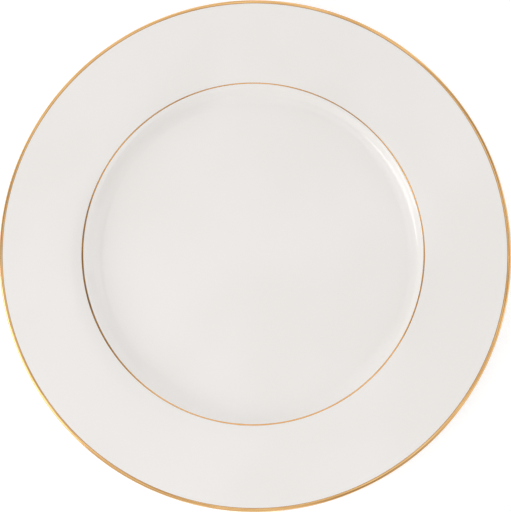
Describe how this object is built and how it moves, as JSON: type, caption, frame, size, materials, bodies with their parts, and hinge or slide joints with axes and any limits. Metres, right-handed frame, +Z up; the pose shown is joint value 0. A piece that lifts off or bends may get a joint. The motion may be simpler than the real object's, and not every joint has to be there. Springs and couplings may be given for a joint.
{
  "type": "dinner plate",
  "caption": "Round porcelain dinner plate with a flat rim, a shallow well and a low foot ring, gilded round the lip and the edge of the well.",
  "frame": {"origin": "centre of the plane that the foot ring rests on", "axes": "+Z up along the plate's axis of rotation, out of the well; the plate is turned, so +X and +Y are any two directions across it"},
  "size_m": [0.27, 0.27, 0.0189],
  "materials": {
    "porcelain": "matte",
    "face_glaze": "gloss",
    "back_glaze": "gloss",
    "gilding": "polished"
  },
  "bodies": {
    "root": {"porcelain_body": "porcelain", "face_glaze": "face_glaze", "back_glaze": "back_glaze", "foot_well_glaze": "back_glaze", "gold_rim_band": "gilding", "gold_verge_line": "gilding"}
  },
  "joints": []
}
